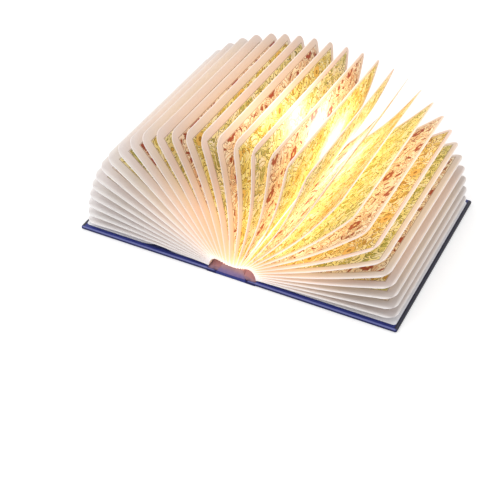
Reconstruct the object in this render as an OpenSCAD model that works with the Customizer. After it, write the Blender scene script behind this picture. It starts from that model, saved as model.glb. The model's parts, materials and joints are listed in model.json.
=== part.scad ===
// Folding book lamp, lying open and flat: a hardback case whose paper leaves
// fan out over a light bar on the spine. X runs across the covers, Y along
// the spine with the head of the book at +Y, and Z is up. The origin is on
// the table under the middle of the spine. Millimetres.

/* [Case] */
// Height of the book along its spine
case_h = 180; // [150:1:230]
// Width of each cover board, from the hinge to the fore edge
cover_w = 118.5; // [95:0.5:145]
// Width of the spine, which is the thickness of the closed book
spine_w = 26; // [24:0.5:34]
// Free width of the cloth hinge between the spine and a cover
hinge_w = 8; // [7:0.5:12]
// Thickness of the grey board inside the covers and the spine
board_t = 2.2; // [1.8:0.1:3]
// Thickness of the leatherette round the case
leather_t = 0.5; // [0.3:0.05:0.8]
// Thickness of the paper pasted inside a cover
endpaper_t = 0.3; // [0.15:0.05:0.4]
// Leatherette left showing round the pasted paper
turn_in = 4; // [2:0.5:8]
// Radius of the outer corners of a cover
corner_r = 1.5; // [0.5:0.5:6]

/* [Leaves] */
// How far a leaf stays inside the fore edge of the closed covers
fore_margin = 0.5; // [0.5:0.5:8]
// How far a leaf stays inside the head and the tail of the covers
end_margin = 2; // [2:0.5:12]
// Rounding of the two outer corners of a leaf
leaf_r = 9; // [3:0.5:20]
// Thickness of a leaf where its two sheets are bonded
leaf_edge_t = 0.2; // [0.1:0.05:0.25]
// Thickness of a leaf inside the bonded margin
leaf_t = 0.3; // [0.2:0.05:0.35]
// Width of the bonded margin
bond_w = 8; // [4:0.5:14]
// Gap between the fold of a leaf and the top of the light bar
fold_gap = 0.7; // [0.5:0.1:1.5]
// How much wider the leaves stand in the middle than near the covers, as a share
crowding = 0.12; // [0:0.01:0.2]
// Lean of the middle leaf to the left while the book is open, in degrees
lean = 1.9; // [0:0.1:2.4]
// How far the open folds halfway down each side arch up
arch_rise = 4; // [2:0.1:4.4]

/* [Light bar] */
// Height of the light bar above the spine board
bar_h = 6.6; // [6.6:0.1:7.2]
// Rise of the domed diffuser above its own edges
dome_rise = 0.9; // [0.5:0.1:1.2]
// Gap between the bar's foot and the edge of the spine board
foot_gap = 0.8; // [0.6:0.1:1.5]
// Gap between the bar's shoulder and a closed cover
shoulder_gap = 0.8; // [0.6:0.1:1.2]
// Wall of the bar
bar_wall = 1.2; // [0.8:0.1:1.4]
// Floor of the bar
bar_floor = 0.8; // [0.6:0.1:1]
// Length of each end cap
cap_l = 8.5; // [7.5:0.5:12]
// How far the sloping face of an end cap leans back at the top
cap_slope = 4.3; // [1:0.1:6]

/* [Electrics] */
// Number of light-emitting diodes in one row
led_n = 14; // [8:1:16]
// Spacing of the diodes along the spine
led_pitch = 10; // [8:0.5:10]
// Length of the flat battery
battery_l = 95; // [60:1:100]
// Thickness of the flat battery
battery_t = 2.3; // [2:0.1:2.5]
// Width of the charging socket's mouth
port_w = 8.94; // [8.9:0.01:9.1]
// Height of the charging socket's mouth
port_h = 3.16; // [3.1:0.01:3.2]
// Diameter of a magnet that holds the covers shut
magnet_d = 8; // [5:0.5:12]
// Thickness of every magnet
magnet_t = 1.5; // [1:0.1:1.6]

/* [Hidden] */
$fn = 48;
// Leaves: leaf 1 lies by the front cover and the last by the back cover
leaf_n = 32;
function leaf_name(k) = str("leaf_", k < 10 ? "0" : "", k);

// How far a cutting shape runs past the face that it opens
past = 1;
// Smallest rounding of an inner corner
min_r = 0.2;

// Case
half_h = case_h / 2;
half_spine = spine_w / 2;
cover_t = leather_t + board_t + endpaper_t;
cover_in = half_spine + hinge_w;
cover_out = cover_in + cover_w;
closed_depth = hinge_w + cover_w;
board_r = max(corner_r - leather_t, min_r);
paper_r = 1;
board_z = leather_t;
paper_z = leather_t + board_t;

// Leaves, as they stand in the closed book
bar_top = paper_z + bar_h;
fold_z = bar_top + fold_gap;
tip_z = closed_depth - fore_margin;
leaf_half_y = half_h - end_margin;
block_half = half_spine - cover_t;
middle = (leaf_n + 1) / 2;
function place(k) = (k - middle) / middle;
function closed_fold(k) = [block_half * place(k), fold_z];

// Leaves in the open book: the angle from upright, to the right, and the
// folds' arch from the top of the bar down to the inner edge of each cover
function open_angle(k) =
    90 * place(k) * (1 + crowding * (1 - pow(abs(place(k)), 3))) - lean * cos(90 * place(k));
arch_half = cover_in - 0.2;
arch_foot_z = cover_t + 0.2;
function open_fold(k) =
    let (a = open_angle(k))
    [
        sign(a) * arch_half * pow(abs(sin(a)), 0.9),
        arch_foot_z + (fold_z - arch_foot_z) * pow(cos(a), 0.6) + arch_rise * pow(sin(2 * a), 2)
    ];

// The point in X and Z about which leaf k turns from its closed place to its open one
function turn_point(k) =
    let (
        from = closed_fold(k),
        to = open_fold(k),
        reach = 2 * tan(open_angle(k) / 2)
    )
    [
        (from[0] + to[0]) / 2 + (to[1] - from[1]) / reach,
        (from[1] + to[1]) / 2 - (to[0] - from[0]) / reach
    ];

// A point set back from the open fold of leaf k in the leaf's own direction
function behind_fold(k, back) =
    open_fold(k) - back * [sin(open_angle(k)), cos(open_angle(k))];

// Paste strips
strip_in = cover_in + 41;
strip_w = 10;
strip_t = 0.25;
strip_half_y = leaf_half_y - 6;

// Light bar
tape_t = 0.3;
bar_foot = half_spine - foot_gap;
bar_shoulder = block_half - shoulder_gap;
tape_half = bar_foot - 0.7;
bar_z = paper_z + tape_t;
bar_end = half_h - leather_t - cap_l;
dome_half = bar_shoulder - bar_wall;
dome_edge_z = bar_top - dome_rise;
shoulder_z = dome_edge_z - 0.1;
dome_r = (dome_half * dome_half + dome_rise * dome_rise) / (2 * dome_rise);
lid_ledge_z = dome_edge_z - 0.6;
ledge_t = 0.4;
lid_seat = 0.7;
led_board_t = 0.6;
led_t = 0.6;
led_clear = 0.1;
led_board_z = lid_ledge_z - led_clear - led_t - led_board_t;
floor_z = bar_z + bar_floor;
function bar_half(z) =
    bar_foot - (z - bar_z) * (bar_foot - bar_shoulder) / (shoulder_z - bar_z);
function bar_inner(z) = bar_half(z) - bar_wall;
led_board_half = bar_inner(led_board_z + led_board_t) - 0.2;
led_board_end = led_pitch * led_n / 2;
rib_in = led_board_half - 1;

// Electrics
battery_half = rib_in - 0.2;
control_l = 30;
port_y = half_h - 10.9;
control_y = port_y - 0.1 - control_l;
battery_y = control_y - 24 - battery_l;
control_half = 7.2;
control_t = 0.8;
standoff_h = 0.5;
port_l = 7.3;
port_wall = 0.3;
port_z = floor_z + 0.05 + port_h / 2;
port_gap = 0.2;
sensor_y = control_y + 8;
magnet_clear = 0.1;
magnet_inset = 9;
magnet_y = half_h - 30;
sensor_magnet_d = 6;

// Hinge linings
lining_t = 0.4;
lining_clear = 0.1;
lining_dip = 0.5;
lining_z = shoulder_z - 0.4;

// Pleat liners
liner_t = 0.2;
liner_back = 0.35;

// ---- Helpers ----

// A section drawn in X and Z, drawn out along the spine from y0 to y1
module along_spine(y0, y1) {
    translate([0, y1, 0]) rotate([90, 0, 0]) linear_extrude(y1 - y0) children();
}

// A section drawn in Y and Z, drawn out across the covers from x0 to x1
module across(x0, x1) {
    translate([x0, 0, 0]) rotate([90, 0, 90]) linear_extrude(x1 - x0) children();
}

// A flat plate from z0 to z1 whose two corners at x1 are rounded
module plate(x0, x1, half_y, z0, z1, r) {
    translate([0, 0, z0]) linear_extrude(z1 - z0) {
        translate([x0, -half_y]) square([x1 - r - x0, 2 * half_y]);
        translate([x0, r - half_y]) square([x1 - x0, 2 * (half_y - r)]);
        for (s = [-1, 1]) translate([x1 - r, s * (half_y - r)]) circle(r);
    }
}

// Builds the right-hand piece, or its mirror image on the left
module side(left) {
    if (left) mirror([1, 0, 0]) children();
    else children();
}

// Round pockets for magnets, open towards the pasted paper
module pockets(places) {
    for (p = places)
        translate([p[0], p[1], paper_z - magnet_t - magnet_clear])
            cylinder(h = magnet_t + past, d = p[2] + 2 * magnet_clear);
}

// Magnets of a cover as X, Y and diameter; the front cover's third one faces
// the sensor on the control board
fore_magnets = [for (s = [-1, 1]) [cover_out - magnet_inset, s * magnet_y, magnet_d]];
sensor_magnet = [cover_in + 5.5, sensor_y, sensor_magnet_d];
function cover_magnets(left) = left ? concat(fore_magnets, [sensor_magnet]) : fore_magnets;

// ---- Case ----

module cover_board(left) {
    color([0.45, 0.42, 0.38]) side(left) difference() {
        plate(cover_in, cover_out - leather_t, half_h - leather_t, board_z, paper_z,
            board_r);
        pockets(cover_magnets(left));
    }
}

// Leatherette under the board, round its three free edges and turned in
module cover_leather(left) {
    color([0.09, 0.13, 0.42]) side(left) difference() {
        plate(cover_in, cover_out, half_h, 0, cover_t, corner_r);
        plate(cover_in - past, cover_out - leather_t, half_h - leather_t, board_z, paper_z,
            board_r);
        plate(cover_in - past, cover_out - turn_in, half_h - turn_in, board_z, cover_t + past,
            paper_r);
    }
}

module cover_endpaper(left) {
    color([0.10, 0.12, 0.30]) side(left)
        plate(cover_in, cover_out - turn_in, half_h - turn_in, paper_z, cover_t, paper_r);
}

// The strip that pastes the outermost leaf to the inside of a cover
module paste_strip(left) {
    color([0.93, 0.92, 0.89]) side(left)
        translate([strip_in, -strip_half_y, cover_t]) cube([strip_w, 2 * strip_half_y, strip_t]);
}

module spine_board() {
    color([0.45, 0.42, 0.38])
        translate([-half_spine, leather_t - half_h, board_z])
            cube([spine_w, case_h - 2 * leather_t, board_t]);
}

// Leatherette under the spine board, turned up over its head and tail
module spine_leather() {
    color([0.09, 0.13, 0.42]) difference() {
        translate([-half_spine, -half_h, 0]) cube([spine_w, case_h, paper_z]);
        translate([-half_spine - past, leather_t - half_h, board_z])
            cube([spine_w + 2 * past, case_h - 2 * leather_t, board_t + past]);
    }
}

// The free leatherette between the spine and a cover, with its turned-in ends
module hinge_leather(left) {
    color([0.09, 0.13, 0.42]) side(left) {
        translate([half_spine, -half_h, 0]) cube([hinge_w, case_h, leather_t]);
        for (y = [-half_h, half_h - turn_in])
            translate([half_spine, y, leather_t]) cube([hinge_w, turn_in, leather_t / 2]);
    }
}

// Lining in an arc about the hinge, from the inner edge of the cover up to the
// side of the light bar
module hinge_lining(left) {
    foot = [hinge_w - lining_clear, cover_t];
    head = [bar_half(lining_z) + lining_clear - half_spine, lining_z];
    function arc_point(t, out) =
        let (
            turn = atan2(foot[1], foot[0]) * (1 - t) + atan2(head[1], head[0]) * t,
            reach = norm(foot) * (1 - t) + norm(head) * t - lining_dip * sin(180 * t) + out
        )
        [half_spine + reach * cos(turn), reach * sin(turn)];
    steps = [0:1 / 12:1];
    outer = [for (t = steps) arc_point(t, 0)];
    inner = [for (t = steps) arc_point(t, -lining_t)];
    color([0.12, 0.15, 0.40]) side(left) along_spine(-leaf_half_y, leaf_half_y)
        polygon(concat(outer, [for (i = [len(inner) - 1:-1:0]) inner[i]]));
}

// A point of the left or the right side with X counted away from the middle
function own_side(p) = [abs(p[0]), p[1]];

// White sheet behind the folds of all the leaves on one side, which are glued to it
module pleat_liner(left) {
    last = leaf_n / 2;
    leaves = left ? [last:-1:1] : [last + 1:leaf_n];
    outer = [for (k = leaves) own_side(behind_fold(k, liner_back))];
    inner = [for (k = leaves) own_side(behind_fold(k, liner_back + liner_t))];
    color([0.98, 0.95, 0.88]) side(left) along_spine(-leaf_half_y, leaf_half_y)
        polygon(concat(outer, [for (i = [len(inner) - 1:-1:0]) inner[i]]));
}

// ---- Light bar ----

module bar_tape() {
    color([0.85, 0.84, 0.80])
        translate([-tape_half, -bar_end, paper_z]) cube([2 * tape_half, 2 * bar_end, tape_t]);
}

// The inside of the housing on its right half, from the floor up
housing_cavity = [
    [0, floor_z],
    [bar_inner(floor_z), floor_z],
    [bar_inner(led_board_z - ledge_t), led_board_z - ledge_t],
    [rib_in, led_board_z - ledge_t],
    [rib_in, led_board_z],
    [bar_inner(led_board_z), led_board_z],
    [bar_inner(lid_ledge_z - ledge_t), lid_ledge_z - ledge_t],
    [dome_half - lid_seat, lid_ledge_z - ledge_t],
    [dome_half - lid_seat, lid_ledge_z],
    [dome_half, lid_ledge_z],
    [dome_half, shoulder_z + past],
    [0, shoulder_z + past]
];

// Mirrors a right-hand outline about the middle of the spine
function both_sides(half) =
    concat(half, [for (i = [len(half) - 1:-1:0]) [-half[i][0], half[i][1]]]);

bar_outline = both_sides([[bar_foot, bar_z], [bar_shoulder, shoulder_z]]);

module bar_housing() {
    color([0.16, 0.17, 0.30]) {
        along_spine(-bar_end, bar_end) difference() {
            polygon(bar_outline);
            polygon(both_sides(housing_cavity));
        }
        for (sx = [-1, 1], y = [control_y + 2, control_y + control_l - 2])
            translate([sx * (control_half - 1.5), y, floor_z]) cylinder(h = standoff_h, d = 2);
    }
}

// The domed section of the bar above its shoulder
module dome(z_bottom) {
    intersection() {
        translate([0, bar_top - dome_r]) circle(dome_r, $fn = 360);
        translate([-dome_half, z_bottom]) square([2 * dome_half, bar_top]);
    }
}

module diffuser() {
    color([0.98, 0.93, 0.80]) along_spine(-bar_end, bar_end) dome(lid_ledge_z);
}

// Side view of the cap at the head of the book, from its joint to its slope
cap_side = [
    [bar_end, bar_z],
    [bar_end + cap_l, bar_z],
    [bar_end + cap_l - cap_slope, bar_top + 0.1],
    [bar_end, bar_top + 0.1]
];
module cap_body() {
    intersection() {
        along_spine(bar_end, bar_end + cap_l) {
            polygon(bar_outline);
            dome(bar_z);
        }
        across(-bar_foot, bar_foot) polygon(cap_side);
    }
}

module tail_cap() {
    color([0.16, 0.17, 0.30]) mirror([0, 1, 0]) cap_body();
}

// A slot with round ends, drawn in X and Z about the socket's middle
module port_outline(grow) {
    r = port_h / 2 + grow;
    flat = port_w / 2 - port_h / 2;
    translate([0, port_z]) {
        square([2 * flat, 2 * r], center = true);
        for (s = [-1, 1]) translate([s * flat, 0]) circle(r);
    }
}

module head_cap() {
    color([0.16, 0.17, 0.30]) difference() {
        cap_body();
        along_spine(bar_end - past, half_h + past) port_outline(port_gap);
    }
}

// ---- Electrics ----

module led_board() {
    color([0.92, 0.92, 0.90])
        translate([-led_board_half, -led_board_end, led_board_z])
            cube([2 * led_board_half, 2 * led_board_end, led_board_t]);
}

module leds() {
    color([1.0, 0.85, 0.45])
        for (sx = [-1, 1], i = [0:led_n - 1])
            translate([sx * 3.6 - 1.4, (i - (led_n - 1) / 2) * led_pitch - 1.75,
                led_board_z + led_board_t]) cube([2.8, 3.5, led_t]);
}

// A flat pouch cell with its sealed end, and two leads to the control board
module battery() {
    seal_l = 4;
    lead_l = control_y - battery_y - battery_l - seal_l;
    color([0.70, 0.71, 0.73]) {
        translate([-battery_half, battery_y, floor_z]) cube([2 * battery_half, battery_l, battery_t]);
        translate([-battery_half + 1, battery_y + battery_l, floor_z])
            cube([2 * battery_half - 2, seal_l, battery_t / 2]);
        for (sx = [-1, 1])
            translate([sx * 2, battery_y + battery_l + seal_l, floor_z + standoff_h + control_t / 2])
                rotate([-90, 0, 0]) cylinder(h = lead_l, d = 0.7);
    }
}

// Board with its charging and driver chips, and the sensor that sees the cover
module control_board() {
    top = floor_z + standoff_h + control_t;
    chip_h = led_board_z - ledge_t - top - 0.1;
    color([0.10, 0.34, 0.20]) {
        translate([-control_half, control_y, floor_z + standoff_h])
            cube([2 * control_half, control_l, control_t]);
        translate([-2.5, control_y + 18, top]) cube([5, 5, chip_h]);
        translate([2, control_y + 6, top]) cube([4, 3, chip_h]);
        translate([-control_half, sensor_y - 1, top]) cube([3, 2, chip_h]);
    }
}

module charge_port() {
    tongue_h = 0.7;
    tongue_w = 6.7;
    color([0.75, 0.76, 0.78]) {
        along_spine(port_y, port_y + port_l) difference() {
            port_outline(0);
            port_outline(-port_wall);
        }
        along_spine(port_y, port_y + 1) port_outline(-port_wall);
        translate([-tongue_w / 2, port_y, port_z - tongue_h / 2])
            cube([tongue_w, port_l - 1.5, tongue_h]);
    }
}

// Magnets lie on the floor of their pockets, under the pasted paper
module magnets(left) {
    color([0.80, 0.80, 0.82]) side(left)
        for (p = cover_magnets(left))
            translate([p[0], p[1], paper_z - magnet_t - magnet_clear])
                cylinder(h = magnet_t, d = p[2]);
}

// ---- Leaves ----

// Outline of a leaf in Y and Z as it stands closed, drawn in by a margin
module leaf_outline(margin) {
    half_y = leaf_half_y - margin;
    top = tip_z - margin;
    r = max(leaf_r - margin, 1);
    translate([-half_y, fold_z]) square([2 * half_y, top - r - fold_z]);
    translate([r - half_y, fold_z]) square([2 * (half_y - r), top - fold_z]);
    for (s = [-1, 1]) translate([s * (half_y - r), top - r]) circle(r);
}

// Two sheets bonded round three edges, turned out from the closed book
module leaf(k) {
    turn = turn_point(k);
    color([0.97, 0.93, 0.84])
        translate([turn[0], 0, turn[1]]) rotate([0, open_angle(k), 0])
            translate([closed_fold(k)[0] - turn[0], 0, -turn[1]]) {
                across(-leaf_edge_t / 2, leaf_edge_t / 2) leaf_outline(0);
                across(-leaf_t / 2, leaf_t / 2) leaf_outline(bond_w);
            }
}

// ---- Assembly ----

cover_board(true);  // front_board
cover_board(false);  // back_board
spine_board();
cover_leather(true);  // front_leather
cover_leather(false);  // back_leather
spine_leather();
hinge_leather(true);  // front_hinge
hinge_leather(false);  // back_hinge
hinge_lining(true);  // front_hinge_lining
hinge_lining(false);  // back_hinge_lining
pleat_liner(true);  // front_pleat_liner
pleat_liner(false);  // back_pleat_liner
cover_endpaper(true);  // front_endpaper
cover_endpaper(false);  // back_endpaper
paste_strip(true);  // front_paste_strip
paste_strip(false);  // back_paste_strip
bar_tape();
bar_housing();
tail_cap();
head_cap();
diffuser();
led_board();
leds();
battery();
control_board();
charge_port();
magnets(true);  // front_magnets
magnets(false);  // back_magnets
for (k = [1:leaf_n])
    leaf(k);
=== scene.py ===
# %% [markdown]
# # A folding book lamp
# A hardback case lies open on a table. Thin paper leaves stand on a light bar
# along its spine and fan out, glowing from the fold. This lesson builds what
# the eye sees, around an exact model of the lamp that is already packed.

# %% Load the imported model
import json
import math
from collections import namedtuple

import bmesh
import bpy
import numpy as np
from mathutils import Matrix, Vector


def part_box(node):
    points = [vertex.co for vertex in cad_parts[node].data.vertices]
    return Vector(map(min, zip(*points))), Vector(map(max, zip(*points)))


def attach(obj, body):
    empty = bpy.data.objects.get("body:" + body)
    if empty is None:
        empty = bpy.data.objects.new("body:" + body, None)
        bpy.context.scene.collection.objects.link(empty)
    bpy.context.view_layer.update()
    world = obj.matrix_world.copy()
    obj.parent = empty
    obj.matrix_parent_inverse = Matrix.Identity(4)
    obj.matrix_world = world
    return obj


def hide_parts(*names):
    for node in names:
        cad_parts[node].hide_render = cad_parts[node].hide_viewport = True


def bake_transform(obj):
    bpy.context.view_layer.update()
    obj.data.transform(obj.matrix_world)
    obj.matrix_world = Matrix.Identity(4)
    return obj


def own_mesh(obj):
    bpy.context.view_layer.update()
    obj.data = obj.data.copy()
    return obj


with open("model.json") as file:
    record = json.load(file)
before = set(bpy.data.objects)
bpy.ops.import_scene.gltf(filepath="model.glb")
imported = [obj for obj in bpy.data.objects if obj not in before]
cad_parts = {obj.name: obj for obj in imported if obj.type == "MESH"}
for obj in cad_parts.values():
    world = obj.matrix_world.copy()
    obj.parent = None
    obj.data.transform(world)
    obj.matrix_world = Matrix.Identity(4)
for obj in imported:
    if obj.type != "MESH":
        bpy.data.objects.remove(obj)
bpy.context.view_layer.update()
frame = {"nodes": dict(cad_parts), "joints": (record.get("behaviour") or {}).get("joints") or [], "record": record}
nodes = frame["nodes"]
joints = {j["name"]: j for j in frame["joints"]}
leaf_count = sum(name.startswith("leaf_") for name in nodes)
MM = 0.001
print("nodes", len(nodes), "leaves", leaf_count)

# %% [markdown]
# ## Camera
# The camera's place and lens were worked out from the corners of the open
# case and the tips of the leaves. It looks down at the near end of the spine
# from the right. Turning its three axes by yaw, pitch and roll is simpler to
# check than an Euler rotation.

# %% Camera
FRAME_PX = 500
SENSOR_MM = 36
focal_px = 1156.29
yaw, pitch, roll = (math.radians(a) for a in (-26.172, 39.628, 0.386))
eye = Vector((317.45, -701.49, 599.63)) * MM

ahead = Vector((math.sin(yaw) * math.cos(pitch), math.cos(yaw) * math.cos(pitch),
                -math.sin(pitch)))
level = Vector((math.cos(yaw), -math.sin(yaw), 0))
above = level.cross(ahead)
right = math.cos(roll) * level + math.sin(roll) * above
up = math.cos(roll) * above - math.sin(roll) * level

lens = bpy.data.cameras.new("camera")
lens.sensor_width = SENSOR_MM
lens.lens = focal_px / FRAME_PX * SENSOR_MM
lens.clip_end = 20
camera = bpy.data.objects.new("camera", lens)
camera.matrix_world = Matrix.Translation(eye) @ Matrix((right, up, -ahead)).transposed().to_4x4()
bpy.context.scene.collection.objects.link(camera)
bpy.context.scene.camera = camera
print("lens", round(lens.lens, 2), "mm")

# %% [markdown]
# ## Writing a material as sums
# Blender's shaders are graphs of nodes. A pattern with many petals needs many
# Math nodes, so a small class lets Python's own + - * / make them. Each value
# below is one socket of the graph, and numbers fold together by themselves.


# %% Values of a node graph that can be added and multiplied
class Finish:
    """One material, its node tree and its main shader."""

    def __init__(self, name, **sockets):
        self.material = bpy.data.materials.new(name)
        self.material.use_nodes = True
        self.tree = self.material.node_tree
        self.shader = self.tree.nodes["Principled BSDF"]
        for socket, value in sockets.items():
            self.shader.inputs[socket.replace("_", " ")].default_value = value

    def node(self, kind, **inputs):
        made = self.tree.nodes.new(kind)
        for socket, value in inputs.items():
            self.plug(made.inputs[socket.replace("_", " ")], value)
        return made

    def plug(self, socket, value):
        if isinstance(value, Num):
            value = value.socket
        if isinstance(value, bpy.types.NodeSocket):
            self.tree.links.new(value, socket)
        else:
            socket.default_value = value

    def math(self, operation, *values):
        made = self.tree.nodes.new("ShaderNodeMath")
        made.operation = operation
        for socket, value in zip(made.inputs, values):
            self.plug(socket, value)
        return Num(self, made.outputs[0])

    def set(self, socket, value):
        self.plug(self.shader.inputs[socket], value)

    def mix(self, low, high, share):
        """The colour low where share is 0 and high where it is 1."""
        made = self.tree.nodes.new("ShaderNodeMix")
        made.data_type = "RGBA"
        for index, value in ((0, share), (6, low), (7, high)):
            self.plug(made.inputs[index], rgba(value))
        return made.outputs[2]

    def tint(self, colour, by):
        """A colour times another colour."""
        made = self.tree.nodes.new("ShaderNodeMix")
        made.data_type = "RGBA"
        made.blend_type = "MULTIPLY"
        for index, value in ((0, 1.0), (6, colour), (7, by)):
            self.plug(made.inputs[index], rgba(value))
        return made.outputs[2]

    def pick(self, value, *stops):
        """The colour of the last stop that value has reached; a stop is a place and a colour."""
        ramp = self.node("ShaderNodeValToRGB", Fac=value)
        ramp.color_ramp.interpolation = "CONSTANT"
        elements = ramp.color_ramp.elements
        while len(elements) < len(stops):
            elements.new(0.5)
        for element, (place, colour) in zip(elements, stops):
            element.position = place
            element.color = rgba(colour)
        return ramp.outputs["Color"]

    def bump(self, height, depth):
        made = self.node("ShaderNodeBump", Height=height, Distance=depth)
        made.inputs["Strength"].default_value = 1
        self.set("Normal", made.outputs[0])


def rgba(value):
    return (*value, 1) if isinstance(value, tuple) and len(value) == 3 else value


class Num:
    """A number that differs over the surface."""

    def __init__(self, finish, socket):
        self.finish, self.socket = finish, socket

    def _do(self, operation, *values):
        return self.finish.math(operation, *values)

    def __add__(self, other): return self._do("ADD", self, other)
    def __radd__(self, other): return self._do("ADD", other, self)
    def __sub__(self, other): return self._do("SUBTRACT", self, other)
    def __rsub__(self, other): return self._do("SUBTRACT", other, self)
    def __mul__(self, other): return self._do("MULTIPLY", self, other)
    def __rmul__(self, other): return self._do("MULTIPLY", other, self)
    def __truediv__(self, other): return self._do("DIVIDE", self, other)
    def __abs__(self): return self._do("ABSOLUTE", self)
    def floor(self): return self._do("FLOOR", self)
    def part(self): return self._do("FRACT", self)
    def sin(self): return self._do("SINE", self)
    def cos(self): return self._do("COSINE", self)
    def root(self): return self._do("SQRT", self)
    def least(self, other): return self._do("MINIMUM", self, other)
    def most(self, other): return self._do("MAXIMUM", self, other)
    def power_of_e(self): return self._do("EXPONENT", self)

    def rise(self, start, end):
        """0 before start, 1 after end; end may be the smaller one."""
        made = self.finish.tree.nodes.new("ShaderNodeMapRange")
        made.interpolation_type = "SMOOTHSTEP"
        low, high = (0, 1) if start < end else (1, 0)
        ends = (min(start, end), max(start, end), low, high)
        self.finish.plug(made.inputs[0], self)
        for socket, value in zip(list(made.inputs)[1:5], ends):
            socket.default_value = value
        return Num(self.finish, made.outputs[0])


def length(x, y):
    return (x * x + y * y).root()


def angle_of(x, y):
    return x.finish.math("ARCTAN2", y, x)


print("helper classes", Finish.__name__, Num.__name__)


# %% Textures in millimetres
def places(finish, layer=None):
    """The X, Y and Z of a point, or its place in a UV layer, in millimetres."""
    if layer:
        made = finish.node("ShaderNodeUVMap")
        made.uv_map = layer
        vector = made.outputs[0]
    else:
        vector = finish.node("ShaderNodeTexCoord").outputs["Object"]
    split = finish.node("ShaderNodeSeparateXYZ", Vector=vector)
    return [Num(finish, s) / MM for s in split.outputs]


def parts(finish, vector):
    """The three numbers of a vector or a colour."""
    split = finish.node("ShaderNodeSeparateXYZ", Vector=vector)
    return [Num(finish, s) for s in split.outputs]


def joined(finish, x, y, z=0.0):
    """A vector from three numbers."""
    return finish.node("ShaderNodeCombineXYZ", X=x, Y=y, Z=z).outputs[0]


def noise(finish, vector, size, detail=2.0):
    """Soft random values about 0.5, whose features measure about size."""
    made = finish.node("ShaderNodeTexNoise", Vector=vector, Scale=1 / size, Detail=detail)
    return Num(finish, made.outputs["Fac"])


def cells(finish, vector, size):
    """Irregular cells about size across; gives the texture node."""
    return finish.node("ShaderNodeTexVoronoi", Vector=vector, Scale=1 / size)


def grain(finish, vector, size, depth, roughness):
    """Pebbled leather: small rounded cells with soft valleys between them."""
    pebbles = Num(finish, cells(finish, vector, size).outputs["Distance"])
    soft = noise(finish, vector, size * 6)
    finish.bump((pebbles * -0.7 + soft * 0.5), depth * MM)
    finish.set("Roughness", roughness + (soft - 0.5) * 0.14)


print("textures are in millimetres")

# %% [markdown]
# ## Floral print
# The leaves and the front cover carry a dense floral print. This one is made
# of plain traditional motifs on a half-drop repeat, as wallpaper is: a daisy
# in the middle of each tile, a whirl of tendrils and pointed leaves round it,
# and lobed leaves where four tiles meet. Curls, small leaves and buds crowd
# the ground between them. Each motif is a distance rule, so it stays sharp at
# any size.


# %% Motifs
TURN = 2 * math.pi


def tile(x, y, wide, tall, shift=0.0):
    """The place in a half-drop tile, from its middle, and the tile's number."""
    column = (x / wide + shift).floor()
    drop = (column * 0.5).part() * tall
    row = ((y + drop) / tall + shift).floor()
    here_x = x - (column + 0.5 - shift) * wide
    here_y = y + drop - (row + 0.5 - shift) * tall
    return here_x, here_y, (column * 0.37 + row * 0.71).part()


def spokes(x, y, count, turn=0.0, swirl=0.0):
    """Folds the plane into count equal wedges; gives the distance out and across."""
    out = length(x, y)
    wedge = (angle_of(x, y) + turn + out * swirl) / (TURN / count)
    across = (wedge.part() - 0.5) * (TURN / count)
    return out * across.cos(), out * across.sin(), out


def pointed(along, across, middle, half_long, half_wide):
    """A pointed leaf: above 0 inside, in millimetres."""
    end = (along - middle) / half_long
    return (1 - end * end) * half_wide - abs(across)


def petals(x, y, count, reach, fullness):
    """A ring of round petals: above 0 inside."""
    along, across, out = spokes(x, y, count)
    return reach * fullness - length(along - reach * (1.02 - fullness * 0.5), across * 1.15)


def paint(finish, below, shape, colour, line, line_w=0.5, soft=0.18):
    """Draws a shape with an outline over what is below."""
    inked = finish.mix(below, line, shape.rise(-line_w - soft, -line_w + soft))
    return finish.mix(inked, colour, shape.rise(-soft, soft))


print("motifs ready")


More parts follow.
